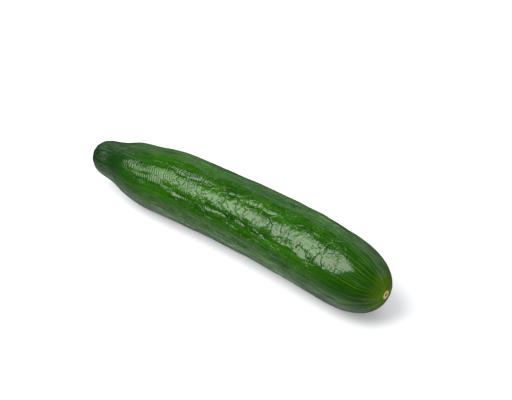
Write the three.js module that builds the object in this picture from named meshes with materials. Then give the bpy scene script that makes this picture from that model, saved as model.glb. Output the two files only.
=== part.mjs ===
// A long greenhouse cucumber, as picked, lying on its side. Millimetres, +Z up.
// +X runs from the cut stem to the blossom end. The fruit is bent a little in plan, is flat for
// about 0.4 mm where its belly rests, and keeps a stub of its stem at the narrow end.
import * as THREE from "three";

// Driving dimensions
const LENGTH = 280; // chord from the stem end to the blossom end
const BEND = 10.9; // how far the middle stands off that chord, sideways
const BELLY_SINK = 0.4; // how deep the skin is flattened where it rests
const STEM_RADIUS = 4; // the cut stem
const STEM_ROOT = 3; // how deep the stem sits in the fruit
const STEM_PROUD = 2.4; // how far it stands out of the skin's collar round it
const ROOT_GAP = 0.3; // clear space between the stem and the flesh round it
const SCAR_RADIUS = 3; // the corky ring left by the blossom
const STEM_OFFSET = 2.5; // how far the stem sits off the axis, to the bend's outer side
const SCAR_OFFSET = 3; // the same for the scar
const RIDGE_COUNT = 11; // shallow ridges that run the whole length
const RIDGE_HEIGHT = 0.14;
const WAVE_COUNT = 26; // irregular long lumps between the ridges
const WAVE_HEIGHT = 0.08;

// Radius of the body before its ends are rounded, as [distance from the stem end, radius]
const BODY_RADII = [
  [0, 14],
  [14, 14.6],
  [26, 16.8],
  [40, 21.6],
  [58, 24.5],
  [80, 26.2],
  [120, 26.3],
  [165, 26.7],
  [210, 26.9],
  [240, 26.1],
  [280, 25.9],
];
// Height of the axis where the body doesn't rest: the neck stays level and the far end droops a little
const NECK_HEIGHT = 25;
const END_HEIGHT = 25.6;
const DROOP = 0.5;
const DROOP_LENGTH = 60;
// The neck is drawn out and set to the bend's outer side, and the far end to its inner side
const NECK_SHIFT = { x: -1.65, y: 1.9, length: 65 };
const END_SHIFT = { y: -0.7, length: 45 };
const REST_START = 70; // the belly rests from here
const REST_END = 232; // to here

// Rounding of each end: its length, and the power of its superellipse
const STEM_DOME = { length: 16.4, power: 2.14 };
const BLOSSOM_DOME = { length: 47.3, power: 2.45 };

// Fineness of the surface
const AROUND = 72;
const ALONG = 76;
const STEM_AROUND = 40;

const TAU = 2 * Math.PI;
const clamp01 = (t) => Math.min(1, Math.max(0, t));
const smooth = (low, high, x) => {
  const t = clamp01((x - low) / (high - low));
  return t * t * (3 - 2 * t);
};

// Cubic Hermite curve through [x, y] knots, with the tangents of their neighbours
function through(knots, x) {
  const last = knots.length - 1;
  const tangent = (i) => {
    const a = knots[Math.max(i - 1, 0)];
    const b = knots[Math.min(i + 1, last)];
    return (b[1] - a[1]) / (b[0] - a[0]);
  };
  let i = 0;
  while (i < last - 1 && x > knots[i + 1][0]) i++;
  const [x0, y0] = knots[i];
  const [x1, y1] = knots[i + 1];
  const h = x1 - x0;
  const t = clamp01((x - x0) / h);
  const t2 = t * t;
  const t3 = t2 * t;
  return (
    (2 * t3 - 3 * t2 + 1) * y0 +
    (t3 - 2 * t2 + t) * h * tangent(i) +
    (3 * t2 - 2 * t3) * y1 +
    (t3 - t2) * h * tangent(i + 1)
  );
}

// Share of the body's radius left at a distance from a rounded end
function dome({ length, power }, distance) {
  if (distance >= length) return 1;
  const fall = Math.abs(1 - distance / length) ** power;
  return clamp01(1 - fall) ** (1 / power);
}

function skinRadius(along) {
  const rounding = dome(STEM_DOME, along) * dome(BLOSSOM_DOME, LENGTH - along);
  return through(BODY_RADII, along) * rounding;
}

function axisHeight(along) {
  const resting = through(BODY_RADII, along) - BELLY_SINK;
  const onBelly = smooth(REST_START - 30, REST_START, along) * (1 - smooth(REST_END, REST_END + 20, along));
  const raised = along < LENGTH / 2 ? NECK_HEIGHT : END_HEIGHT;
  const droop = DROOP * clamp01((along - (LENGTH - DROOP_LENGTH)) / DROOP_LENGTH) ** 2;
  return resting * onBelly + raised * (1 - onBelly) - droop;
}

// The axis is an arc in plan, so a point on it and the direction there come from one angle
const BEND_RADIUS = ((LENGTH / 2) ** 2 + BEND ** 2) / (2 * BEND);
const BEND_HALF = Math.asin(LENGTH / 2 / BEND_RADIUS);

function axisAt(along) {
  const turn = BEND_HALF * ((2 * along) / LENGTH - 1);
  const inNeck = 1 - smooth(0, NECK_SHIFT.length, along);
  const inEnd = smooth(LENGTH - END_SHIFT.length, LENGTH, along);
  return {
    turn,
    x: BEND_RADIUS * Math.sin(turn) + NECK_SHIFT.x * inNeck,
    y: BEND_RADIUS * (Math.cos(turn) - Math.cos(BEND_HALF)) + NECK_SHIFT.y * inNeck + END_SHIFT.y * inEnd,
    z: axisHeight(along),
  };
}

// The stem and the scar sit beside the tips. Rings near a tip are set off the axis by this much, and lean
// by this share of their width, so the rounded end keeps its form.
function tipOffset(along) {
  const nearStem = Math.exp(-((along / 6) ** 2));
  const nearScar = Math.exp(-(((LENGTH - along) / 6) ** 2));
  return {
    side: STEM_OFFSET * nearStem + SCAR_OFFSET * nearScar,
    lean: 0.05 * (SCAR_OFFSET * nearScar ** 0.75 - STEM_OFFSET * nearStem ** 0.75),
  };
}

// Evenly spread draws between 0 and 1, the same on every run
const draw = (i, step) => (0.5 + i * step) % 1;
const LUMPS = Array.from({ length: WAVE_COUNT }, (_, i) => ({
  around: 4 + Math.floor(14 * draw(i, 0.618034)),
  along: (TAU / (16 + 50 * draw(i, 0.754878))) * (i % 2 ? 1 : -1),
  phase: TAU * draw(i, 0.569841),
}));

// Relief of the skin in millimetres. Ridges wander and fade towards the blossom end. Lumps are a sum
// of long waves, each with a whole number of crests round the fruit. Both fade where the belly rests.
function relief(along, angle) {
  const wander = 0.8 * Math.sin((TAU * along) / 190) + 0.35 * Math.sin((TAU * along) / 67 + 1);
  const ridgeFade = smooth(6, 30, along) * (1 - 0.75 * smooth(LENGTH - 70, LENGTH - 12, along));
  const ridges = RIDGE_HEIGHT * ridgeFade * Math.cos(RIDGE_COUNT * angle + wander);
  let lumps = 0;
  for (const lump of LUMPS) {
    lumps += Math.cos(lump.around * angle + lump.along * along + lump.phase);
  }
  lumps *= WAVE_HEIGHT / Math.sqrt(WAVE_COUNT / 2);
  const lumpFade = smooth(20, 70, along) * (1 - smooth(LENGTH - 50, LENGTH - 16, along));
  const fromBelly = Math.abs(Math.atan2(Math.cos(angle), -Math.sin(angle)));
  return (ridges + lumps * lumpFade) * smooth(0.12, 0.42, fromBelly);
}

// Puckers that gather the skin round the stem and fine furrows that run to the blossom scar
function endFurrows(along, angle) {
  const nearStem = Math.exp(-(((along - 4) / 7) ** 2)) * Math.cos(10 * angle + 0.7);
  const nearScar = Math.exp(-(((LENGTH - along - 5) / 9) ** 2)) * Math.cos(10 * angle + 2);
  return 0.12 * nearStem + 0.1 * nearScar;
}

// One closed skin from a list of rings. Each ring has a distance along the fruit, a radius and a share
// of the relief. A ring of radius 0 is a single point.
function skinFromRings(rings, around, place) {
  const positions = [];
  const starts = [];
  for (const ring of rings) {
    starts.push(positions.length / 3);
    const count = ring.radius === 0 ? 1 : around;
    for (let j = 0; j < count; j++) positions.push(...place(ring, (TAU * j) / around));
  }
  const index = [];
  for (let i = 0; i < rings.length - 1; i++) {
    for (let j = 0; j < around; j++) {
      const k = (j + 1) % around;
      const a = starts[i] + (rings[i].radius === 0 ? 0 : j);
      const b = starts[i] + (rings[i].radius === 0 ? 0 : k);
      const c = starts[i + 1] + (rings[i + 1].radius === 0 ? 0 : j);
      const d = starts[i + 1] + (rings[i + 1].radius === 0 ? 0 : k);
      if (a !== b) index.push(a, b, c);
      if (c !== d) index.push(b, d, c);
    }
  }
  const geometry = new THREE.BufferGeometry();
  geometry.setAttribute("position", new THREE.Float32BufferAttribute(positions, 3));
  geometry.setIndex(index);
  geometry.computeVertexNormals();
  return geometry;
}

// A point at a radius and an angle round the fruit's bent axis. Angle 0 points to the bend's outer side.
function onAxis(along, radius, angle) {
  const axis = axisAt(along);
  const tip = tipOffset(along);
  const side = radius * Math.cos(angle) + tip.side;
  const back = tip.lean * radius * Math.cos(angle);
  const x = axis.x + side * Math.sin(axis.turn) - back * Math.cos(axis.turn);
  const y = axis.y + side * Math.cos(axis.turn) + back * Math.sin(axis.turn);
  return [x, y, axis.z + radius * Math.sin(angle)];
}

// The skin stops in a collar round the stem, where its rounded end is this wide
const SOCKET_RADIUS = STEM_RADIUS + ROOT_GAP;
const COLLAR_WIDTH = 1.2;
const COLLAR = firstDistance((along) => skinRadius(along) >= SOCKET_RADIUS + COLLAR_WIDTH);
const SCAR_EDGE = LENGTH - firstDistance((left) => skinRadius(LENGTH - left) >= 1.5 * SCAR_RADIUS);

function firstDistance(reached) {
  let distance = 0;
  while (!reached(distance)) distance += 0.01;
  return distance;
}

function fruitGeometry() {
  const socketFloor = COLLAR + STEM_ROOT + ROOT_GAP;
  const rings = [
    { along: socketFloor, radius: 0, share: 0 },
    { along: socketFloor, radius: SOCKET_RADIUS, share: 0 },
    { along: COLLAR, radius: SOCKET_RADIUS, share: 0 },
    { along: COLLAR - 0.2, radius: SOCKET_RADIUS + COLLAR_WIDTH / 2, share: 0 },
  ];
  for (let i = 0; i <= ALONG; i++) {
    // Rings crowd towards both rounded ends
    const t = i / ALONG;
    const eased = t - (0.62 / TAU) * Math.sin(TAU * t);
    const along = COLLAR + (SCAR_EDGE - COLLAR) * eased;
    rings.push({ along, radius: skinRadius(along), share: 1 });
  }
  rings.push(
    { along: LENGTH - 0.1, radius: SCAR_RADIUS, share: 0 },
    { along: LENGTH + 0.25, radius: 0.75 * SCAR_RADIUS, share: 0 },
    { along: LENGTH, radius: 0.45 * SCAR_RADIUS, share: 0 },
    { along: LENGTH - 0.4, radius: 0, share: 0 },
  );
  return skinFromRings(rings, AROUND, (ring, angle) => {
    const raised = ring.share * (relief(ring.along, angle) + endFurrows(ring.along, angle));
    const point = onAxis(ring.along, ring.radius + raised, angle);
    point[2] = Math.max(0, point[2]); // the belly is flat on what it lies on
    return point;
  });
}

// The stub of the stem: five soft corners, a waist, and a cut face dished round its pith
function stemGeometry() {
  const cut = COLLAR - STEM_PROUD;
  const root = COLLAR + STEM_ROOT;
  const rings = [
    { along: cut + 0.5, radius: 0 },
    { along: cut + 0.1, radius: 0.32 * STEM_RADIUS },
    { along: cut + 0.15, radius: 0.55 * STEM_RADIUS },
    { along: cut, radius: 0.8 * STEM_RADIUS },
    { along: cut + 0.5, radius: 0.87 * STEM_RADIUS },
    { along: cut + 1.4, radius: 0.86 * STEM_RADIUS },
    { along: cut + 2.5, radius: 0.93 * STEM_RADIUS },
    { along: COLLAR + 0.2, radius: STEM_RADIUS },
    { along: root - 0.5, radius: STEM_RADIUS },
    { along: root, radius: 0.9 * STEM_RADIUS },
    { along: root, radius: 0 },
  ];
  return skinFromRings(rings, STEM_AROUND, (ring, angle) => {
    const corners = 1 - 0.03 * (1 - Math.cos(5 * angle));
    return onAxis(ring.along, ring.radius * corners, angle);
  });
}

const skinGreen = new THREE.MeshStandardMaterial({ color: 0x2a5c14, roughness: 0.3, metalness: 0 });
const stemGreen = new THREE.MeshStandardMaterial({ color: 0x8fa35c, roughness: 0.7, metalness: 0 });

const fruit = new THREE.Mesh(fruitGeometry(), skinGreen);
fruit.name = "fruit";
const stem = new THREE.Mesh(stemGeometry(), stemGreen);
stem.name = "stem_stub";

const cucumber = new THREE.Group();
cucumber.add(fruit, stem);

// The origin is under the middle of the whole cucumber, on the surface that it rests on
const middle = new THREE.Box3().setFromObject(cucumber).getCenter(new THREE.Vector3());
cucumber.position.set(-middle.x, -middle.y, 0);

export default cucumber;
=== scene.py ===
"""A long greenhouse cucumber on a pale floor, dressed over its CAD frame. Metres, +Z up.

+X runs from the cut stem to the blossom end. Shapes are worked out in millimetres, as a radius at each
distance along a bent axis and each angle round it, and become metres where they go into a mesh.
"""

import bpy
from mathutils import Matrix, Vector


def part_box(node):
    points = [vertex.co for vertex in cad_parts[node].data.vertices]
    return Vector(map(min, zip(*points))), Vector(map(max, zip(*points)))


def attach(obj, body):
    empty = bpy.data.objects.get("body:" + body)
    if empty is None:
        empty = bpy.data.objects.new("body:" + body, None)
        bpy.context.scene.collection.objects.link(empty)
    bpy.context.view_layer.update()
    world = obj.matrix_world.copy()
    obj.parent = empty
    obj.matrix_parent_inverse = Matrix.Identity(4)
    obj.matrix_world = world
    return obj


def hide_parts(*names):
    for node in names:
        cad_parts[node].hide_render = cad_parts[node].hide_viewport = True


bl_info = {
    "name": "Cucumber",
    "version": (1, 0, 0),
    "blender": (4, 5, 0),
    "location": "3D View > Sidebar > Cucumber",
    "description": "Adds a long greenhouse cucumber with its stem stub, a pale floor and soft light",
    "category": "Add Mesh",
}

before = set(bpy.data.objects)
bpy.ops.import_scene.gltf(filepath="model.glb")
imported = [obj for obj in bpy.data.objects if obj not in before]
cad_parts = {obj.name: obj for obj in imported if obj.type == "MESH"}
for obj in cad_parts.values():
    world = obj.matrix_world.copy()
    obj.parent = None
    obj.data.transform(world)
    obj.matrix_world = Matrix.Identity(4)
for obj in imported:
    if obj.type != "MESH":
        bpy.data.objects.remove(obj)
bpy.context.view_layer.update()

import itertools
import math
from collections import namedtuple

import bpy
import numpy as np
from bpy.props import FloatProperty, FloatVectorProperty, PointerProperty
from mathutils import Vector

ROOT = "root"
TAU = 2 * math.pi
MM = 0.001

# Sizes of the CAD solids, in millimetres
LENGTH = 280.0
BEND = 10.9
BELLY_SINK = 0.4
STEM_RADIUS = 4.0
STEM_ROOT = 3.0
STEM_PROUD = 2.4
ROOT_GAP = 0.3
COLLAR_WIDTH = 1.2
SCAR_RADIUS = 3.0
STEM_OFFSET = 2.5
SCAR_OFFSET = 3.0
RIDGE_COUNT = 11
RIDGE_HEIGHT = 0.14
WAVE_COUNT = 26
WAVE_HEIGHT = 0.08
BODY_RADII = [
    (0, 14),
    (14, 14.6),
    (26, 16.8),
    (40, 21.6),
    (58, 24.5),
    (80, 26.2),
    (120, 26.3),
    (165, 26.7),
    (210, 26.9),
    (240, 26.1),
    (280, 25.9),
]
NECK_HEIGHT = 25.0
END_HEIGHT = 25.6
DROOP = 0.5
DROOP_LENGTH = 60.0
REST_START = 70.0
REST_END = 232.0
NECK_SHIFT = (-1.65, 1.9)
NECK_SHIFT_LENGTH = 65.0
END_SHIFT = -0.7
END_SHIFT_LENGTH = 45.0
STEM_DOME = (16.4, 2.14)
BLOSSOM_DOME = (47.3, 2.45)

# Fineness of the finished surfaces
AROUND = 240
ALONG = 400
STEM_AROUND = 120
GIRTH_RADIUS = 26.0  # radius of the cylinder that the straightened skin is laid on

# Wrinkles of the mesh, in millimetres
PUCKER_ROWS = 29  # rows of small arcs round the fruit that the puckers fall into
PUCKER_BOW = 1.5  # how far an arc is bowed, as a phase
PUCKER_LENGTH = 3.1
RING_LENGTH = 2.3
RING_HEIGHT = 0.008
UNEVENNESS = 0.035

# Wrinkles and lines of the material, in metres
FIBRE_HEIGHTS = (0.00008, 0.00030)  # on top of the fruit and on its flanks
THREAD_SCALES = (310, 180)  # scales of the noises that the two sets of threads follow
THREAD_HEIGHTS = (0.00009, 0.00020)
GRAIN_HEIGHT = 0.00002
FINE_PUCKER_LENGTH = 0.0022
FINE_PUCKER_HEIGHT = 0.000062
HAIR_CREASE_DEPTH = 0.00012
FINE_RING_LENGTH = 0.0021
FINE_RING_HEIGHT = 0.000010
LINE_HEIGHT = 0.00006
BLOSSOM_LINES = ((37, 0.44), (61, 0.34))  # count round the fruit, and strength

# Gloss of the skin, and the pit of the scar
SKIN_IOR = 1.36
GLOSS_TINT = (0.89, 1.0, 0.79, 1)
PIT_COLOUR = (0.36, 0.18, 0.075)

# Camera: where it stands, where it looks, and its lens
CAMERA_PLACE = (0.4799, -0.5569, 0.5525)
CAMERA_AIM = (-0.5206, 0.6325, -0.5736)
CAMERA_LENS = 85.0
SENSOR_WIDTH = 36.0

# Lights: the key's direction, distance, sides, roll and aim, and the places and sides of the other two
KEY_DIRECTION = (-0.347, -0.502, 0.773)
KEY_DISTANCE = 1.5
KEY_SIDES = (1.02, 1.52)
KEY_ROLL = math.radians(-8)
KEY_AIM = (0, 0, 0.03)
FILL_PLACE = (0.3, -0.4, 2.0)
FILL_SIDE = 2.5
BACK_PLACE = (-0.4, 0.9, 0.9)
BACK_SIDE = 1.2

# Directions of the room's pale wall and of its left side, and the floor's glow far out
WALL_DIRECTION = (-0.164, 0.986, 0.0)
LEFT_DIRECTION = (-0.772, -0.636, 0.0)
FAR_GLOW = 0.95


class FruitSettings(bpy.types.PropertyGroup):
    """Colours and relief of the fruit's skin"""

    dark: FloatVectorProperty(
        name="Dark green", description="Ground colour of the skin", subtype="COLOR",
        size=3, min=0, max=1, default=(0.0028, 0.026, 0.0006),
    )
    light: FloatVectorProperty(
        name="Light green", description="Colour of the lengthwise streaks", subtype="COLOR",
        size=3, min=0, max=1, default=(0.017, 0.078, 0.0009),
    )
    neck: FloatVectorProperty(
        name="Neck", description="Colour of the narrow stem end", subtype="COLOR",
        size=3, min=0, max=1, default=(0.0022, 0.016, 0.0018),
    )
    # Partly the neck's real grey bloom and partly painted sheen, laid low on the flank and a little on top
    bloom_and_sheen: FloatVectorProperty(
        name="Bloom", description="Colour of the dull bloom on the neck", subtype="COLOR",
        size=3, min=0, max=1, default=(0.085, 0.160, 0.092),
    )
    # Pale threads that are partly real streaks and partly painted reflection of the floor and wall
    thread: FloatVectorProperty(
        name="Threads", description="Colour of the thin pale lines along the flanks", subtype="COLOR",
        size=3, min=0, max=1, default=(0.095, 0.225, 0.070),
    )
    blossom: FloatVectorProperty(
        name="Blossom lines", description="Colour of the lines that run to the blossom scar", subtype="COLOR",
        size=3, min=0, max=1, default=(0.085, 0.200, 0.006),
    )
    cap: FloatVectorProperty(
        name="Cap", description="Colour close to the blossom scar", subtype="COLOR",
        size=3, min=0, max=1, default=(0.120, 0.235, 0.002),
    )
    cork: FloatVectorProperty(
        name="Scar", description="Colour of the corky blossom scar", subtype="COLOR",
        size=3, min=0, max=1, default=(0.92, 0.70, 0.30),
    )
    pucker: FloatProperty(
        name="Puckers", description="Height of the crosswise puckers behind the neck",
        unit="LENGTH", subtype="DISTANCE", min=0, max=0.0004, default=0.000090,
    )
    crease: FloatProperty(
        name="Creases", description="Depth of the creases on the middle of the fruit",
        unit="LENGTH", subtype="DISTANCE", min=0, max=0.0006, default=0.00018,
    )
    rope: FloatProperty(
        name="Ropes", description="Height of the long uneven swellings along the fruit",
        unit="LENGTH", subtype="DISTANCE", min=0, max=0.001, default=0.00010,
    )
    groove: FloatProperty(
        name="Grooves", description="Depth of the broken grooves between the lengthwise ridges",
        unit="LENGTH", subtype="DISTANCE", min=0, max=0.001, default=0.00034,
    )
    gloss: FloatProperty(
        name="Roughness", description="Roughness of the waxy skin",
        subtype="FACTOR", min=0.02, max=1, default=0.12,
    )


class StemSettings(bpy.types.PropertyGroup):
    """Colours of the stem stub"""

    bark: FloatVectorProperty(
        name="Bark", description="Colour of the stem's side", subtype="COLOR",
        size=3, min=0, max=1, default=(0.24, 0.33, 0.10),
    )
    cut: FloatVectorProperty(
        name="Cut face", description="Colour of the cut face", subtype="COLOR",
        size=3, min=0, max=1, default=(0.46, 0.50, 0.26),
    )


class StageSettings(bpy.types.PropertyGroup):
    """Floor and lights"""

    floor: FloatVectorProperty(
        name="Floor", description="Colour of the floor", subtype="COLOR",
        size=3, min=0, max=1, default=(0.42, 0.42, 0.425),
    )
    floor_glow: FloatProperty(
        name="Floor glow", description="Light that the floor gives off itself, as a light table does",
        min=0, max=2, default=0.30,
    )
    floor_size: FloatProperty(
        name="Floor size", description="Side of the square floor",
        unit="LENGTH", subtype="DISTANCE", min=1, default=14,
    )
    key_power: FloatProperty(
        name="Key light", description="Power of the large soft light",
        unit="POWER", min=0, default=51,
    )
    fill_power: FloatProperty(
        name="Fill light", description="Power of the overhead light, which softens the shadow",
        unit="POWER", min=0, default=38,
    )
    back_power: FloatProperty(
        name="Back light", description="Power of the weak light behind the fruit",
        unit="POWER", min=0, default=12,
    )


def smooth(low, high, x):
    """Cubic step from 0 at low to 1 at high."""
    t = np.clip((x - low) / (high - low), 0, 1)
    return t * t * (3 - 2 * t)


def through(knots, x):
    """Cubic Hermite curve through knots, each tangent the slope between the two knots beside it."""
    knot_x, knot_y = np.array(knots, float).T
    last = len(knots) - 1
    before = np.maximum(np.arange(last + 1) - 1, 0)
    after = np.minimum(np.arange(last + 1) + 1, last)
    tangent = (knot_y[after] - knot_y[before]) / (knot_x[after] - knot_x[before])
    i = np.clip(np.searchsorted(knot_x, x) - 1, 0, last - 1)
    h = knot_x[i + 1] - knot_x[i]
    t = np.clip((x - knot_x[i]) / h, 0, 1)
    rise = (2 * t**3 - 3 * t**2 + 1) * knot_y[i] + (3 * t**2 - 2 * t**3) * knot_y[i + 1]
    lean = (t**3 - 2 * t**2 + t) * tangent[i] + (t**3 - t**2) * tangent[i + 1]
    return rise + h * lean


def dome(shape, distance):
    """Share of the radius left at a distance from a rounded end: a superellipse of a length and a power."""
    length, power = shape
    fall = np.abs(1 - np.clip(distance / length, 0, 1)) ** power
    return np.clip(1 - fall, 0, 1) ** (1 / power)


def skin_radius(along):
    """Radius of the smooth body: the body's curve times the rounding of both ends."""
    return through(BODY_RADII, along) * dome(STEM_DOME, along) * dome(BLOSSOM_DOME, LENGTH - along)


def axis_height(along):
    """Height of the axis: the belly rests in the middle, the neck stays level and the far end droops."""
    resting = through(BODY_RADII, along) - BELLY_SINK
    on_belly = smooth(REST_START - 30, REST_START, along) * (1 - smooth(REST_END, REST_END + 20, along))
    raised = np.where(along < LENGTH / 2, NECK_HEIGHT, END_HEIGHT)
    droop = DROOP * np.clip((along - (LENGTH - DROOP_LENGTH)) / DROOP_LENGTH, 0, 1) ** 2
    return resting * on_belly + raised * (1 - on_belly) - droop


BEND_RADIUS = ((LENGTH / 2) ** 2 + BEND**2) / (2 * BEND)
BEND_HALF = math.asin(LENGTH / 2 / BEND_RADIUS)


def on_axis(along, radius, angle):
    """Points at a radius and angle round the bent axis. The axis is an arc in plan whose ends are shifted a
    little. Angle 0 is the bend's outer side. Rings near a tip are set off the axis and lean, because the stem
    and the scar sit beside the tips, and the rounded ends keep their form."""
    turn = BEND_HALF * (2 * along / LENGTH - 1)
    in_neck = 1 - smooth(0, NECK_SHIFT_LENGTH, along)
    in_end = smooth(LENGTH - END_SHIFT_LENGTH, LENGTH, along)
    near_stem = np.exp(-((along / 6) ** 2))
    near_scar = np.exp(-(((LENGTH - along) / 6) ** 2))
    side = radius * np.cos(angle) + STEM_OFFSET * near_stem + SCAR_OFFSET * near_scar
    lean = 0.05 * (SCAR_OFFSET * near_scar**0.75 - STEM_OFFSET * near_stem**0.75)
    back = lean * radius * np.cos(angle)
    x = (BEND_RADIUS + side) * np.sin(turn) + NECK_SHIFT[0] * in_neck - back * np.cos(turn)
    y = BEND_RADIUS * (np.cos(turn) - math.cos(BEND_HALF)) + side * np.cos(turn) + back * np.sin(turn)
    y = y + NECK_SHIFT[1] * in_neck + END_SHIFT * in_end
    z = axis_height(along) + radius * np.sin(angle)
    return np.stack(np.broadcast_arrays(x, y, z), axis=-1)


def first_distance(reached):
    """First distance from an end, in steps of 0.01 mm, where reached is true."""
    steps = np.arange(0, 40, 0.01)
    return float(steps[np.argmax(reached(steps))])


SOCKET_RADIUS = STEM_RADIUS + ROOT_GAP
COLLAR = first_distance(lambda d: skin_radius(d) >= SOCKET_RADIUS + COLLAR_WIDTH)
SCAR_EDGE = LENGTH - first_distance(lambda d: skin_radius(LENGTH - d) >= 1.5 * SCAR_RADIUS)


def draw(i, step):
    """Evenly spread draw between 0 and 1, the same on every run."""
    return (0.5 + i * step) % 1


def ridge_phase(along, angle):
    """Phase of the ridges round the fruit: whole turns are crests, and the phase wanders along the fruit."""
    return RIDGE_COUNT * angle + 0.8 * np.sin(TAU * along / 190) + 0.35 * np.sin(TAU * along / 67 + 1)


def solid_relief(along, angle):
    """Relief that the CAD solid has too: wandering ridges, a sum of long waves, and the ends' furrows."""
    ridge_fade = smooth(6, 30, along) * (1 - 0.75 * smooth(LENGTH - 70, LENGTH - 12, along))
    ridges = RIDGE_HEIGHT * ridge_fade * np.cos(ridge_phase(along, angle))
    lumps = 0
    for i in range(WAVE_COUNT):
        crests = 4 + math.floor(14 * draw(i, 0.618034))
        slant = TAU / (16 + 50 * draw(i, 0.754878)) * (1 if i % 2 else -1)
        lumps = lumps + np.cos(crests * angle + slant * along + TAU * draw(i, 0.569841))
    lumps = lumps * WAVE_HEIGHT / math.sqrt(WAVE_COUNT / 2)
    lump_fade = smooth(20, 70, along) * (1 - smooth(LENGTH - 50, LENGTH - 16, along))
    near_stem = np.exp(-(((along - 4) / 7) ** 2)) * np.cos(10 * angle + 0.7)
    near_scar = np.exp(-(((LENGTH - along - 5) / 9) ** 2)) * np.cos(10 * angle + 2)
    return (ridges + lumps * lump_fade) * off_belly(angle) + 0.12 * near_stem + 0.1 * near_scar


def off_belly(angle):
    """0 under the belly and 1 away from it."""
    from_belly = np.abs(np.arctan2(np.cos(angle), -np.sin(angle)))
    return smooth(0.12, 0.42, from_belly)


def gradient_noise(points, seed):
    """Smooth noise from about -1 to 1. Each corner of a unit lattice has a slope drawn by an integer hash,
    and a point blends what the eight corners round it give, by a quintic fade."""
    cell = np.floor(points).astype(np.int64)
    inside = points - cell
    fade = inside**3 * (inside * (inside * 6 - 15) + 10)
    total = np.zeros(points.shape[:-1])
    for corner in itertools.product((0, 1), repeat=3):
        lattice = cell + np.array(corner)
        code = lattice[..., 0] * 73856093 ^ lattice[..., 1] * 19349663 ^ lattice[..., 2] * 83492791
        code = (code ^ seed * 668265263) & 0xFFFFFFFF
        code = (code ^ code >> 13) * 1274126177 & 0xFFFFFFFF
        code = (code ^ code >> 16) * 1103515245 & 0xFFFFFFFF
        turn = TAU * (code & 0xFFFF) / 65536
        up = (code >> 16) / 32768 - 1
        flat = np.sqrt(np.clip(1 - up**2, 0, 1))
        offset = inside - np.array(corner)
        slope = flat * (np.cos(turn) * offset[..., 0] + np.sin(turn) * offset[..., 1]) + up * offset[..., 2]
        total += slope * np.prod(np.where(corner, fade, 1 - fade), axis=-1)
    return 1.6 * total


def straightened(along, angle):
    """The skin laid on a straight cylinder, so that noise runs round the fruit without a seam."""
    across = GIRTH_RADIUS * np.cos(angle)
    up = GIRTH_RADIUS * np.sin(angle)
    return np.stack(np.broadcast_arrays(along, across, up), axis=-1)


def skin_noise(flat, along_size, around_size, seed):
    """Noise on the straightened skin, with features of a size along the fruit and a size round it."""
    return gradient_noise(flat / np.array([along_size, around_size, around_size]), seed)


def fine_relief(along, angle, settings):
    """Relief of the skin that only the finished surface has, in millimetres. Ropes are long noise. Grooves
    are narrow broken valleys between the solid's ridges, an exponential of the ridges' cosine. Puckers are
    sine waves along the fruit, bent by noise and into rows of small arcs. Pillows are a noise whose zero
    crossings are pressed into narrow valleys, once large and once small. Rings are faint waves along the
    rounded blossom end. The whole skin is a little uneven."""
    flat = straightened(along, angle)
    middle = smooth(40, 90, along) * (1 - smooth(LENGTH - 60, LENGTH - 25, along))
    bend = np.stack([skin_noise(flat, 9, 6, seed) for seed in (11, 12, 13)], axis=-1)
    warped = flat + 2.2 * bend

    ropes = skin_noise(flat, 38, 6.5, 1) + 0.7 * skin_noise(flat, 20, 3.2, 2)
    relief = settings.rope / MM * ropes * (0.25 + 0.75 * middle)

    groove_place = smooth(50, 75, along) * (1 - smooth(190, 225, along))
    groove_place = groove_place * np.clip(0.4 + 1.8 * skin_noise(flat, 12, 9, 15), 0, 1.3)
    phase = ridge_phase(along, angle) + 1.0 * skin_noise(flat, 11, 8, 14)
    relief = relief - settings.groove / MM * groove_place * np.exp(-(1 + np.cos(phase)) / 0.25)

    pucker_place = smooth(28, 50, along) * (1 - smooth(105, 165, along))
    pucker_place = pucker_place * np.clip(0.5 + 1.3 * skin_noise(flat, 14, 5, 3), 0, 1)
    arcs = np.cos(PUCKER_ROWS * angle + 3.0 * skin_noise(flat, 12, 9, 10))
    phase = TAU * along / PUCKER_LENGTH + PUCKER_BOW * arcs + 6.5 * skin_noise(flat, 9, 6, 4)
    relief = relief + settings.pucker / MM * pucker_place * np.sin(phase)

    pillow_place = smooth(70, 120, along) * (1 - smooth(205, 245, along))
    pillow_place = pillow_place * np.clip(0.8 + 1.0 * skin_noise(flat, 22, 9, 5), 0.2, 1)
    large = np.exp(-np.abs(skin_noise(warped, 8.0, 5.5, 6)) / 0.16)
    small = np.exp(-np.abs(skin_noise(warped, 4.2, 3.2, 7)) / 0.25)
    relief = relief - settings.crease / MM * pillow_place * (large + 0.25 * small)

    ring_place = smooth(205, 232, along) * (1 - smooth(258, 272, along))
    rings = np.sin(TAU * along / RING_LENGTH + 2.2 * skin_noise(flat, 14, 12, 8))
    relief = relief + RING_HEIGHT * ring_place * rings
    relief = relief + UNEVENNESS * skin_noise(flat, 3.2, 2.8, 9) * (0.4 + 0.6 * middle)
    return relief * off_belly(angle)


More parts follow.
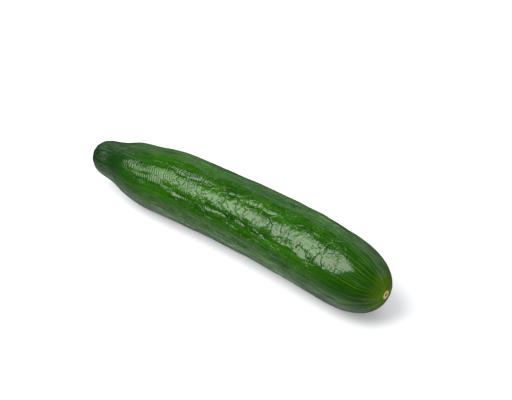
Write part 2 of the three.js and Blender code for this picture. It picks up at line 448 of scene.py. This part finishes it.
def skin_stations():
    """Distance along the fruit, radius and share of the relief of each ring, from the socket's floor at the
    stem, over its collar and the whole skin, to the pit in the middle of the blossom scar."""
    socket_floor = COLLAR + STEM_ROOT + ROOT_GAP
    start = [
        (socket_floor, 0, 0),
        (socket_floor, SOCKET_RADIUS, 0),
        (COLLAR + 0.3, SOCKET_RADIUS, 0),
        (COLLAR + 0.05, SOCKET_RADIUS + 0.04, 0),
        (COLLAR - 0.12, SOCKET_RADIUS + 0.18, 0),
        (COLLAR - 0.2, SOCKET_RADIUS + 0.5 * COLLAR_WIDTH, 0.2),
        (COLLAR - 0.14, SOCKET_RADIUS + 0.8 * COLLAR_WIDTH, 0.6),
    ]
    # Rings crowd towards both rounded ends
    t = np.linspace(0, 1, ALONG + 1)
    along = COLLAR + (SCAR_EDGE - COLLAR) * (t - 0.55 / TAU * np.sin(TAU * t))
    skin = list(zip(along, skin_radius(along), np.ones_like(along)))
    scar = [
        (LENGTH - 0.30, 1.30, 0.5),
        (LENGTH - 0.12, 1.08, 0),
        (LENGTH + 0.08, 0.98, 0),
        (LENGTH + 0.22, 0.86, 0),
        (LENGTH + 0.25, 0.74, 0),
        (LENGTH + 0.18, 0.62, 0),
        (LENGTH + 0.00, 0.50, 0),
        (LENGTH - 0.25, 0.38, 0),
        (LENGTH - 0.40, 0.20, 0),
        (LENGTH - 0.42, 0, 0),
    ]
    scar = [(distance, share_of_scar * SCAR_RADIUS, share) for distance, share_of_scar, share in scar]
    return [np.array(column, float)[:, None] for column in zip(*start, *skin, *scar)]


def closed_skin(name, rings):
    """Mesh object from rings of points, an array of rings by points by 3. The first and the last ring are
    single points, so each is one vertex with a fan of triangles, and quads join the rings between."""
    count, around = rings.shape[:2]
    points = np.concatenate([rings[0, :1], rings[1:-1].reshape(-1, 3), rings[-1, :1]])
    j = np.arange(around)
    k = (j + 1) % around
    first = 1 + around * np.arange(count - 3)[:, None]
    corners = (first + around + j, first + around + k, first + k, first + j)
    quads = np.stack(np.broadcast_arrays(*corners), axis=-1)
    end = len(points) - 1
    start_fan = np.stack([1 + j, 1 + k, np.zeros_like(j)], axis=-1)
    end_fan = np.stack([end - around + k, end - around + j, np.full_like(j, end)], axis=-1)
    mesh = bpy.data.meshes.new(name)
    faces = quads.reshape(-1, 4).tolist() + start_fan.tolist() + end_fan.tolist()
    mesh.from_pydata((points * MM).tolist(), [], faces)
    mesh.polygons.foreach_set("use_smooth", np.ones(len(faces), bool))
    mesh.update()
    piece = bpy.data.objects.new(name, mesh)
    bpy.context.collection.objects.link(piece)
    return piece


def write_attribute(piece, name, rings):
    """Stores a value of each ring point on the mesh, as one number or as three."""
    values = np.concatenate([rings[0, :1], rings[1:-1].reshape(-1, *rings.shape[2:]), rings[-1, :1]])
    kind, field = ("FLOAT_VECTOR", "vector") if values.ndim == 2 else ("FLOAT", "value")
    attribute = piece.data.attributes.new(name, kind, "POINT")
    attribute.data.foreach_set(field, np.ascontiguousarray(values, dtype=np.float32).ravel())


def centred(plain, node):
    """Shift that puts the middle of a plain shape, in plan, at the middle of a CAD node."""
    low, high = (np.array(corner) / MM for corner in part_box(node))
    middle = (plain.reshape(-1, 3).min(axis=0) + plain.reshape(-1, 3).max(axis=0)) / 2
    return np.append(((low + high) / 2 - middle)[:2], 0)


def add_node(tree, kind, inputs=None, **settings):
    """Adds a shader node. Each input is a value, or an output socket that is linked to it."""
    node = tree.nodes.new(kind)
    for name, value in settings.items():
        setattr(node, name, value)
    for socket, value in (inputs or {}).items():
        if isinstance(value, bpy.types.NodeSocket):
            tree.links.new(value, node.inputs[socket])
        else:
            node.inputs[socket].default_value = value
    return node


def stretched_noise(tree, vector, stretch, scale, detail=3.0, roughness=0.55, offset=0.0):
    """Noise on a vector that is first scaled along X by stretch, so the pattern runs lengthwise."""
    mapped = add_node(tree, "ShaderNodeMapping", {
        "Vector": vector, "Scale": (stretch, 1, 1), "Location": (offset, offset, offset),
    })
    noise = add_node(tree, "ShaderNodeTexNoise", {
        "Vector": mapped.outputs[0], "Scale": scale, "Detail": detail, "Roughness": roughness,
    })
    return noise.outputs["Fac"]


def between(tree, value, low, high, out_low=0.0, out_high=1.0, ease="SMOOTHSTEP"):
    """Maps a value from one range to another, clamped."""
    node = add_node(tree, "ShaderNodeMapRange", {
        "Value": value, "From Min": low, "From Max": high, "To Min": out_low, "To Max": out_high,
    }, interpolation_type=ease)
    return node.outputs["Result"]


def combine(tree, operation, a, b=0.0, c=0.0):
    """One step of arithmetic on up to three values."""
    return add_node(tree, "ShaderNodeMath", {0: a, 1: b, 2: c}, operation=operation).outputs[0]


def contour(tree, value, level, width):
    """1 where a value crosses a level, falling to 0 at a width to either side of it."""
    away = combine(tree, "ABSOLUTE", combine(tree, "SUBTRACT", value, level))
    return between(tree, away, 0, width, 1, 0)


def span(tree, value, start, full, fade, end):
    """0 before start, 1 from full to fade, and 0 again after end."""
    rise = between(tree, value, start, full)
    fall = between(tree, value, fade, end, 1, 0)
    return combine(tree, "MULTIPLY", rise, fall)


def blend(tree, factor, a, b, mode="MIX"):
    """Mixes two colours."""
    node = add_node(tree, "ShaderNodeMix", {0: factor, 6: opaque(a), 7: opaque(b)},
                    data_type="RGBA", blend_type=mode)
    return node.outputs[2]


def opaque(colour):
    """A colour of three numbers with full alpha, or a socket as it is."""
    return colour if isinstance(colour, bpy.types.NodeSocket) else (*colour, 1)


def new_material(name):
    """Empty node material. Returns it, its tree and its shader."""
    material = bpy.data.materials.new(name)
    material.use_nodes = True
    tree = material.node_tree
    tree.nodes.clear()
    shader = add_node(tree, "ShaderNodeBsdfPrincipled")
    add_node(tree, "ShaderNodeOutputMaterial", {"Surface": shader.outputs[0]})
    return material, tree, shader


SkinPlace = namedtuple("SkinPlace", "flat along across up angle from_scar relief")


def read_skin(tree):
    """Where a point lies on the straightened skin, in metres, and what its mesh says of it."""
    flat = add_node(tree, "ShaderNodeAttribute", attribute_name="straight").outputs["Vector"]
    from_scar = add_node(tree, "ShaderNodeAttribute", attribute_name="from_scar").outputs["Fac"]
    relief = add_node(tree, "ShaderNodeAttribute", attribute_name="relief").outputs["Fac"]
    along, across, up = add_node(tree, "ShaderNodeSeparateXYZ", {0: flat}).outputs
    angle = combine(tree, "ARCTAN2", up, across)
    return SkinPlace(flat, along, across, up, angle, from_scar, relief)


def pale_threads(tree, place):
    """Thin threads along the fruit, a set for each scale: lines where a stretched noise crosses its mean."""
    noises = [stretched_noise(tree, place.flat, 0.075, scale, detail=2, offset=16) for scale in THREAD_SCALES]
    return [contour(tree, noise, 0.5, 0.07) for noise in noises]


def blossom_lines(tree, place):
    """Thin lines that run to the blossom scar: sharp peaks of waves round the fruit, bent by noise."""
    wander = stretched_noise(tree, place.flat, 0.25, 110, detail=2, offset=5)
    strength = between(tree, stretched_noise(tree, place.flat, 0.12, 230, offset=12), 0.42, 0.60)
    lines = 0.0
    for count, share in BLOSSOM_LINES:
        turns = combine(tree, "MULTIPLY", place.angle, count)
        wave = combine(tree, "COSINE", combine(tree, "MULTIPLY_ADD", wander, 11.0, turns))
        thin = combine(tree, "POWER", combine(tree, "MULTIPLY_ADD", wave, 0.5, 0.5), 16)
        lines = combine(tree, "MAXIMUM", lines, combine(tree, "MULTIPLY", thin, share))
    lines = combine(tree, "MULTIPLY", lines, strength)
    return combine(tree, "MULTIPLY", lines, between(tree, place.along, 0.236, 0.270))


def ground_colour(tree, place, settings):
    """Broad streaks, fine streaks and cloudy patches from dark to light green. The blossom end is darker. The
    bottom of a crease gets painted shade, and raised skin gets painted light, so it is paler."""
    broad = between(tree, stretched_noise(tree, place.flat, 0.09, 120, detail=4), 0.40, 0.60)
    fine = between(tree, stretched_noise(tree, place.flat, 0.06, 520, detail=4, offset=3), 0.36, 0.64)
    cloud = stretched_noise(tree, place.flat, 0.5, 120, detail=6, roughness=0.75, offset=7)
    mottle = combine(tree, "MULTIPLY", broad, 0.30)
    mottle = combine(tree, "MULTIPLY_ADD", fine, 0.40, mottle)
    mottle = combine(tree, "MULTIPLY_ADD", between(tree, cloud, 0.38, 0.62), 0.30, mottle)
    mottle = combine(tree, "MULTIPLY", mottle, between(tree, place.along, 0.215, 0.262, 1, 0.30))
    colour = blend(tree, mottle, settings.dark, settings.light)
    # Painted shade and painted light: the colour darkens in the bottom of each crease and pales on raised
    # skin, following the mesh's relief
    raised = between(tree, place.relief, -0.25, 0.30, 0.78, 1.22, ease="LINEAR")
    painted_crease_shade = add_node(tree, "ShaderNodeCombineXYZ", {0: raised, 1: raised, 2: raised}).outputs[0]
    return blend(tree, 1.0, colour, painted_crease_shade, "MULTIPLY")


def neck_colour(tree, place, settings, colour):
    """Darker and bluer neck, with a grey bloom that is partly real and partly painted sheen. It streaks
    lengthwise, low down and a little on top, where the sheen falls.
    """
    colour = blend(tree, between(tree, place.along, 0.018, 0.085, 0.94, 0.0), colour, settings.neck)
    bloom_and_sheen = stretched_noise(tree, place.flat, 0.20, 420, detail=4, roughness=0.65, offset=18)
    # Painted sheen: the grey is placed low down on the flank and a little on top, where the gloss catches
    # light
    low_down = between(tree, place.up, -0.018, 0.003, 1, 0)
    on_top = between(tree, place.up, 0.019, 0.026, 0, 0.20)
    bloom_and_sheen = between(tree, bloom_and_sheen, 0.42, 0.62)
    bloom_and_sheen = combine(tree, "MULTIPLY", bloom_and_sheen, between(tree, place.along, 0.022, 0.075, 1, 0))
    bloom_and_sheen = combine(tree, "MULTIPLY", bloom_and_sheen, combine(tree, "ADD", low_down, on_top))
    return blend(tree, bloom_and_sheen, colour, settings.bloom_and_sheen)


def thread_and_glint_colour(tree, place, settings, colour, threads):
    """Pale threads in patches, partly real streaks and partly painted reflection, so most of them lie low on
    the flanks.
    """
    patches = between(tree, stretched_noise(tree, place.flat, 0.2, 150, offset=20), 0.40, 0.60)
    # Painted reflection: the threads are weighted low down, on the outer side and round the blossom end,
    # where the gloss mirrors the pale floor and wall
    low_down = between(tree, place.up, -0.018, 0.004, 0.85, 0)
    outer_side = between(tree, place.across, 0.002, 0.016, 0, 0.28)
    at_blossom = between(tree, place.along, 0.235, 0.265, 0, 0.10)
    side = combine(tree, "MAXIMUM", combine(tree, "MAXIMUM", low_down, outer_side), at_blossom)
    pale = combine(tree, "MULTIPLY", combine(tree, "MAXIMUM", *threads), patches)
    return blend(tree, combine(tree, "MULTIPLY", pale, side), colour, settings.thread)


def blossom_colour(tree, place, settings, colour, lines):
    """Pale lines to the scar, and a yellow-green cap round it with a streaky edge."""
    colour = blend(tree, lines, colour, settings.blossom)
    streaks = stretched_noise(tree, place.flat, 0.05, 420, detail=4, roughness=0.7, offset=9)
    streaks = between(tree, streaks, 0.3, 0.7, -0.0045, 0.0045, ease="LINEAR")
    reach = combine(tree, "ADD", place.from_scar, streaks)
    cap = between(tree, reach, 0.001, 0.0165, 0.85, 0, ease="LINEAR")
    return blend(tree, cap, colour, settings.cap)


def fleck_colour(tree, place, settings, colour):
    """Round pale flecks, one in each cell, from nothing up to 0.7 mm across."""
    cells = add_node(tree, "ShaderNodeTexVoronoi", {"Vector": place.flat, "Scale": 300, "Randomness": 1})
    draws = add_node(tree, "ShaderNodeSeparateColor", {0: cells.outputs["Color"]}).outputs[0]
    size = between(tree, draws, 0.3, 1, 0, 0.11, ease="LINEAR")
    fleck = combine(tree, "LESS_THAN", cells.outputs["Distance"], size)
    return blend(tree, combine(tree, "MULTIPLY", fleck, 0.25), colour, settings.blossom)


def scar_colour(tree, place, settings, colour):
    """Corky ring with a brown pit."""
    grain = between(tree, stretched_noise(tree, place.flat, 1, 900, offset=2), 0.35, 0.65)
    cork = blend(tree, grain, [0.6 * c for c in settings.cork], settings.cork)
    colour = blend(tree, between(tree, place.from_scar, 0.0029, 0.0033, 1, 0), colour, cork)
    return blend(tree, between(tree, place.from_scar, 0.0010, 0.0017, 1, 0), colour, PIT_COLOUR)


def skin_roughness(tree, place, settings):
    """Uneven wax, a little duller behind the neck and at the blossom end. The cork has no gloss."""
    wax = stretched_noise(tree, place.flat, 0.5, 260, offset=4)
    rough = between(tree, wax, 0.3, 0.7, settings.gloss - 0.03, settings.gloss + 0.04)
    rough = combine(tree, "ADD", rough, between(tree, place.along, 0.250, 0.275, 0, 0.05))
    rough = combine(tree, "MULTIPLY_ADD", span(tree, place.along, 0.020, 0.040, 0.060, 0.100), 0.04, rough)
    return combine(tree, "MAXIMUM", rough, between(tree, place.from_scar, 0.0028, 0.0042, 0.75, 0))


def fibre_height(tree, place, threads):
    """Lengthwise fibres and threads: high on the neck, low down and on the outer side, and low on top."""
    low_down = between(tree, place.up, -0.004, 0.016, 1, 0)
    on_neck = between(tree, place.along, 0.030, 0.055, 1, 0)
    outer_side = between(tree, place.across, -0.008, 0.008)
    flank = combine(tree, "MAXIMUM", combine(tree, "MAXIMUM", low_down, on_neck), outer_side)
    fibres = stretched_noise(tree, place.flat, 0.10, 480, detail=3, roughness=0.6, offset=6)
    height = combine(tree, "MULTIPLY", fibres, between(tree, flank, 0, 1, *FIBRE_HEIGHTS))
    height = combine(tree, "MULTIPLY", height, between(tree, place.along, 0.025, 0.045, 1.5, 1.0))
    for thread, rise in zip(threads, THREAD_HEIGHTS):
        height = combine(tree, "MULTIPLY_ADD", thread, combine(tree, "MULTIPLY", flank, rise), height)
    return height


def pucker_height(tree, place, sway):
    """Crosswise puckers behind the neck, in patches: waves along the fruit, bent into rows of small arcs."""
    rows = combine(tree, "MULTIPLY_ADD", sway, 9.0, combine(tree, "MULTIPLY", place.angle, PUCKER_ROWS))
    phase = combine(tree, "MULTIPLY", place.along, TAU / FINE_PUCKER_LENGTH)
    phase = combine(tree, "MULTIPLY_ADD", sway, 15.0, phase)
    phase = combine(tree, "MULTIPLY_ADD", combine(tree, "COSINE", rows), PUCKER_BOW, phase)
    patches = between(tree, stretched_noise(tree, place.flat, 0.4, 120, offset=11), 0.34, 0.56)
    puckers = combine(tree, "MULTIPLY", combine(tree, "SINE", phase), patches)
    puckers = combine(tree, "MULTIPLY", puckers, span(tree, place.along, 0.028, 0.050, 0.095, 0.150))
    return combine(tree, "MULTIPLY", puckers, FINE_PUCKER_HEIGHT)


def crease_depth(tree, place):
    """Sharp creases on the middle of the fruit: large ones round cells, and hair-thin ones between them."""
    bend = add_node(tree, "ShaderNodeTexNoise", {"Vector": place.flat, "Scale": 170, "Detail": 2})
    warped = add_node(tree, "ShaderNodeVectorMath", {
        0: bend.outputs["Color"], 1: (0.005, 0.005, 0.005), 2: place.flat,
    }, operation="MULTIPLY_ADD").outputs[0]
    cells = add_node(tree, "ShaderNodeTexVoronoi", {
        "Vector": warped, "Scale": 115,
    }, feature="DISTANCE_TO_EDGE")
    large = between(tree, cells.outputs["Distance"], 0, 0.075, 1, 0)
    broken = between(tree, stretched_noise(tree, place.flat, 0.8, 130, offset=8), 0.42, 0.56)
    large = combine(tree, "MULTIPLY", large, broken)
    small = contour(tree, stretched_noise(tree, warped, 1.3, 165, detail=2, offset=14), 0.5, 0.024)
    broken = between(tree, stretched_noise(tree, place.flat, 1, 210, offset=17), 0.42, 0.54)
    small = combine(tree, "MULTIPLY", small, broken)
    creases = combine(tree, "MULTIPLY_ADD", large, 2.0, small)
    creases = combine(tree, "MULTIPLY", creases, span(tree, place.along, 0.075, 0.120, 0.238, 0.260))
    return combine(tree, "MULTIPLY", creases, HAIR_CREASE_DEPTH)


def ring_height(tree, place, sway):
    """Faint rings before the blossom end."""
    phase = combine(tree, "MULTIPLY", place.along, TAU / FINE_RING_LENGTH)
    phase = combine(tree, "MULTIPLY_ADD", sway, 16.0, phase)
    rings = combine(tree, "SINE", phase)
    rings = combine(tree, "MULTIPLY", rings, span(tree, place.along, 0.205, 0.230, 0.255, 0.270))
    return combine(tree, "MULTIPLY", rings, FINE_RING_HEIGHT)


def skin_height(tree, place, threads, lines):
    """Wrinkles too fine for the mesh, summed up as one height in metres."""
    sway = stretched_noise(tree, place.flat, 0.6, 170, detail=2, offset=1)
    grain = stretched_noise(tree, place.flat, 0.9, 900, detail=2, offset=13)
    height = combine(tree, "MULTIPLY_ADD", grain, GRAIN_HEIGHT, fibre_height(tree, place, threads))
    height = combine(tree, "ADD", height, pucker_height(tree, place, sway))
    height = combine(tree, "SUBTRACT", height, crease_depth(tree, place))
    height = combine(tree, "ADD", height, ring_height(tree, place, sway))
    return combine(tree, "MULTIPLY_ADD", lines, LINE_HEIGHT, height)


def skin_material(settings):
    """Waxy green skin. All of it follows the straightened skin, so streaks run along the fruit and close in
    on the blossom scar. The neck is bluer and duller, the blossom end yellower, and the scar is corky."""
    material, tree, shader = new_material("waxy_skin")
    place = read_skin(tree)
    threads = pale_threads(tree, place)
    lines = blossom_lines(tree, place)
    colour = ground_colour(tree, place, settings)
    colour = neck_colour(tree, place, settings, colour)
    colour = thread_and_glint_colour(tree, place, settings, colour, threads)
    colour = blossom_colour(tree, place, settings, colour, lines)
    colour = fleck_colour(tree, place, settings, colour)
    colour = scar_colour(tree, place, settings, colour)
    tree.links.new(colour, shader.inputs["Base Color"])
    tree.links.new(skin_roughness(tree, place, settings), shader.inputs["Roughness"])
    shader.inputs["IOR"].default_value = SKIN_IOR
    shader.inputs["Specular Tint"].default_value = GLOSS_TINT
    height = skin_height(tree, place, threads, lines)
    bump = add_node(tree, "ShaderNodeBump", {"Height": height, "Strength": 1.0, "Distance": 1.0})
    tree.links.new(bump.outputs[0], shader.inputs["Normal"])
    return material


def stem_material(settings):
    """Pale dry stem: fibres along its side, and on the cut face a drier brown rim and a soft pith."""
    material, tree, shader = new_material("cut_stem")
    flat = add_node(tree, "ShaderNodeAttribute", attribute_name="straight").outputs["Vector"]
    radius = add_node(tree, "ShaderNodeAttribute", attribute_name="across").outputs["Fac"]
    face = add_node(tree, "ShaderNodeAttribute", attribute_name="cut_face").outputs["Fac"]
    fibres = stretched_noise(tree, flat, 0.08, 1400)
    side = blend(tree, between(tree, fibres, 0.35, 0.65), [0.55 * c for c in settings.bark], settings.bark)
    speckle = stretched_noise(tree, flat, 1, 1700, offset=3)
    cut = blend(tree, between(tree, speckle, 0.35, 0.7), [0.7 * c for c in settings.cut], settings.cut)
    cut = blend(tree, between(tree, radius, 0.0029, 0.0037, 0, 0.7), cut, (0.30, 0.22, 0.08))
    cut = blend(tree, between(tree, radius, 0.0006, 0.0017, 0.5, 0), cut, (0.33, 0.30, 0.13))
    tree.links.new(blend(tree, face, side, cut), shader.inputs["Base Color"])
    shader.inputs["Roughness"].default_value = 0.62
    bump = add_node(tree, "ShaderNodeBump", {"Height": fibres, "Strength": 0.5, "Distance": 0.0003})
    bump = add_node(tree, "ShaderNodeBump", {
        "Height": speckle, "Strength": 0.4, "Distance": 0.0002, "Normal": bump.outputs[0],
    })
    tree.links.new(bump.outputs[0], shader.inputs["Normal"])
    return material


class CUCUMBER_OT_fruit(bpy.types.Operator):
    """Add the fruit: one closed skin from the socket of the stem to the blossom scar"""

    bl_idname = "cucumber.add_fruit"
    bl_label = "Add Fruit"

    def execute(self, context):
        settings = context.scene.cucumber_fruit
        along, radius, share = skin_stations()
        angle = TAU * np.arange(AROUND)[None, :] / AROUND
        plain = on_axis(along, radius + share * solid_relief(along, angle), angle)
        fine = share * fine_relief(along, angle, settings)
        rings = on_axis(along, radius + share * solid_relief(along, angle) + fine, angle)
        rings = rings + centred(plain, "fruit")
        rings[..., 2] = np.maximum(rings[..., 2], 0)
        piece = closed_skin("cucumber_fruit", rings)
        write_attribute(piece, "straight", MM * straightened(along, angle))
        write_attribute(piece, "relief", np.broadcast_to(fine, rings.shape[:2]))
        behind = 0.6 * np.maximum(SCAR_EDGE - along, 0)
        from_scar = np.where(along > LENGTH - 60, np.hypot(radius, behind), 60)
        write_attribute(piece, "from_scar", MM * np.broadcast_to(from_scar, rings.shape[:2]))
        piece.data.materials.append(skin_material(settings))
        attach(piece, ROOT)
        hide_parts("fruit")
        return {"FINISHED"}


class CUCUMBER_OT_stem(bpy.types.Operator):
    """Add the stub of the stem, with soft corners, a waist and a dished cut face"""

    bl_idname = "cucumber.add_stem"
    bl_label = "Add Stem"

    def execute(self, context):
        settings = context.scene.cucumber_stem
        cut = COLLAR - STEM_PROUD
        root = COLLAR + STEM_ROOT
        face = [
            (cut + 0.50, 0.00), (cut + 0.46, 0.10), (cut + 0.30, 0.20), (cut + 0.12, 0.30),
            (cut + 0.10, 0.42), (cut + 0.15, 0.55), (cut + 0.10, 0.68), (cut + 0.02, 0.76),
            (cut, 0.81),
        ]
        side = [
            (cut + 0.05, 0.85), (cut + 0.22, 0.875), (cut + 0.5, 0.875), (cut + 0.9, 0.86),
            (cut + 1.4, 0.86), (cut + 1.9, 0.885), (cut + 2.5, 0.93), (cut + 3.0, 0.965),
            (COLLAR + 0.2, 1.00), (root - 0.5, 1.00), (root, 0.90), (root, 0.00),
        ]
        along, share = (np.array(column, float)[:, None] for column in zip(*face, *side))
        angle = TAU * np.arange(STEM_AROUND)[None, :] / STEM_AROUND
        corners = 1 - 0.03 * (1 - np.cos(5 * angle))
        radius = STEM_RADIUS * share * corners
        ribs = 0.05 * np.cos(30 * angle) * smooth(0.7, 0.9, share)
        rough_cut = 0.10 * gradient_noise(on_axis(along, radius, angle) / 1.1, 21)
        rough_cut = rough_cut * smooth(0.02, 0.2, share) * (along < cut + 0.4)
        rings = on_axis(along + rough_cut, np.maximum(radius + ribs - 0.05, 0), angle)
        rings = rings + centred(on_axis(along, radius, angle), "stem_stub")
        piece = closed_skin("cucumber_stem", rings)
        write_attribute(piece, "straight", MM * straightened(along, angle) * [1, 0.17, 0.17])
        write_attribute(piece, "across", MM * radius)
        on_face = np.where(np.arange(len(along)) < len(face), 1.0, 0.0)[:, None]
        write_attribute(piece, "cut_face", np.broadcast_to(on_face, rings.shape[:2]))
        piece.data.materials.append(stem_material(settings))
        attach(piece, ROOT)
        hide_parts("stem_stub")
        return {"FINISHED"}


def add_floor(settings):
    """Plain matt floor that glows by itself, more so far out, so that its end doesn't show."""
    half = settings.floor_size / 2
    corners = [(-half, -half, 0), (half, -half, 0), (half, half, 0), (-half, half, 0)]
    mesh = bpy.data.meshes.new("floor")
    mesh.from_pydata(corners, [], [(0, 1, 2, 3)])
    floor = bpy.data.objects.new("floor", mesh)
    bpy.context.collection.objects.link(floor)
    material, tree, shader = new_material("pale_floor")
    shader.inputs["Base Color"].default_value = (*settings.floor, 1)
    shader.inputs["Roughness"].default_value = 0.9
    shader.inputs["Specular IOR Level"].default_value = 0.1
    shader.inputs["Emission Color"].default_value = (0.97, 0.98, 1.0, 1)
    place = add_node(tree, "ShaderNodeTexCoord").outputs["Object"]
    distance = add_node(tree, "ShaderNodeVectorMath", {0: place}, operation="LENGTH").outputs["Value"]
    glow = between(tree, distance, 0.5, 2.0, settings.floor_glow, FAR_GLOW)
    tree.links.new(glow, shader.inputs["Emission Strength"])
    mesh.materials.append(material)
    floor.visible_glossy = False


def add_area_light(name, place, aim, width, height, power, roll=0.0):
    """Rectangular soft light at a place, turned towards a point."""
    light = bpy.data.lights.new(name, "AREA")
    light.shape = "RECTANGLE"
    light.size = width
    light.size_y = height
    light.energy = power
    lamp = bpy.data.objects.new(name, light)
    lamp.location = place
    turn = (Vector(aim) - Vector(place)).to_track_quat("-Z", "Y").to_euler()
    turn.rotate_axis("Z", roll)
    lamp.rotation_euler = turn
    bpy.context.collection.objects.link(lamp)
    return lamp


def add_surroundings():
    """Light of a plain room, as the gloss mirrors it: dim all round, with a pale low wall at the far side,
    and pale below, where the floor stays out of the gloss. The camera sees plain white."""
    world = bpy.data.worlds.new("room")
    world.use_nodes = True
    tree = world.node_tree
    tree.nodes.clear()
    direction = add_node(tree, "ShaderNodeTexCoord").outputs["Generated"]
    up = add_node(tree, "ShaderNodeSeparateXYZ", {0: direction}).outputs["Z"]
    facing = add_node(tree, "ShaderNodeVectorMath", {0: direction, 1: WALL_DIRECTION},
                      operation="DOT_PRODUCT").outputs["Value"]
    leftward = add_node(tree, "ShaderNodeVectorMath", {0: direction, 1: LEFT_DIRECTION},
                        operation="DOT_PRODUCT").outputs["Value"]
    wall = span(tree, up, 0.02, 0.14, 0.42, 0.64)
    wall = combine(tree, "MULTIPLY", wall, between(tree, facing, 0.1, 0.8))
    wall = combine(tree, "MULTIPLY", wall, between(tree, leftward, -0.30, 0.05, 1.3, 0.6))
    below = between(tree, up, -0.85, -0.30, 1.05, 0.08)
    below = combine(tree, "MULTIPLY", below, between(tree, facing, 0.0, 0.4, 1, 0.15))
    below = combine(tree, "MULTIPLY", below, between(tree, leftward, -0.35, 0.25, 0.6, 1))
    below = combine(tree, "MULTIPLY", below, between(tree, up, -0.02, 0.02, 1, 0))
    level = combine(tree, "ADD", wall, combine(tree, "MAXIMUM", below, 0.05))
    seen = add_node(tree, "ShaderNodeLightPath").outputs["Is Camera Ray"]
    level = combine(tree, "MAXIMUM", level, seen)
    background = add_node(tree, "ShaderNodeBackground", {"Color": level, "Strength": 1.0})
    add_node(tree, "ShaderNodeOutputWorld", {"Surface": background.outputs[0]})
    bpy.context.scene.world = world


def add_camera():
    """Camera at the photograph's angle, with no shift and no depth of field."""
    data = bpy.data.cameras.new("camera")
    data.lens = CAMERA_LENS
    data.sensor_width = SENSOR_WIDTH
    camera = bpy.data.objects.new("camera", data)
    camera.location = CAMERA_PLACE
    camera.rotation_euler = Vector(CAMERA_AIM).to_track_quat("-Z", "Y").to_euler()
    bpy.context.collection.objects.link(camera)
    bpy.context.scene.camera = camera


class CUCUMBER_OT_stage(bpy.types.Operator):
    """Add the floor, the three lights, the plain room and the camera"""

    bl_idname = "cucumber.add_stage"
    bl_label = "Add Stage"

    def execute(self, context):
        settings = context.scene.cucumber_stage
        add_floor(settings)
        add_surroundings()
        key_place = KEY_DISTANCE * Vector(KEY_DIRECTION)
        add_area_light("key_light", key_place, KEY_AIM, *KEY_SIDES, settings.key_power, KEY_ROLL)
        fill = add_area_light("fill_light", FILL_PLACE, (0, 0, 0), FILL_SIDE, FILL_SIDE, settings.fill_power)
        back = add_area_light("back_light", BACK_PLACE, (0, 0, 0), BACK_SIDE, BACK_SIDE, settings.back_power)
        fill.visible_glossy = False
        back.visible_glossy = False
        add_camera()
        context.scene.view_settings.view_transform = "Standard"
        return {"FINISHED"}


class CUCUMBER_PT_sidebar(bpy.types.Panel):
    """The cucumber's pieces and stage, with their settings"""

    bl_label = "Cucumber"
    bl_space_type = "VIEW_3D"
    bl_region_type = "UI"
    bl_category = "Cucumber"

    def draw(self, context):
        scene = context.scene
        groups = (
            (CUCUMBER_OT_fruit, scene.cucumber_fruit),
            (CUCUMBER_OT_stem, scene.cucumber_stem),
            (CUCUMBER_OT_stage, scene.cucumber_stage),
        )
        for operator, settings in groups:
            column = self.layout.column(align=True)
            column.operator(operator.bl_idname)
            for name in settings.__annotations__:
                column.prop(settings, name)


SETTINGS = {
    "cucumber_fruit": FruitSettings,
    "cucumber_stem": StemSettings,
    "cucumber_stage": StageSettings,
}
OPERATORS = (CUCUMBER_OT_fruit, CUCUMBER_OT_stem, CUCUMBER_OT_stage)


def register():
    for group in (*SETTINGS.values(), *OPERATORS, CUCUMBER_PT_sidebar):
        bpy.utils.register_class(group)
    for name, group in SETTINGS.items():
        setattr(bpy.types.Scene, name, PointerProperty(type=group))


def unregister():
    for name in SETTINGS:
        delattr(bpy.types.Scene, name)
    for group in (CUCUMBER_PT_sidebar, *reversed(OPERATORS), *reversed(list(SETTINGS.values()))):
        bpy.utils.unregister_class(group)


def main():
    register()
    bpy.ops.cucumber.add_fruit()
    bpy.ops.cucumber.add_stem()
    bpy.ops.cucumber.add_stage()


if __name__ == "__main__":
    main()
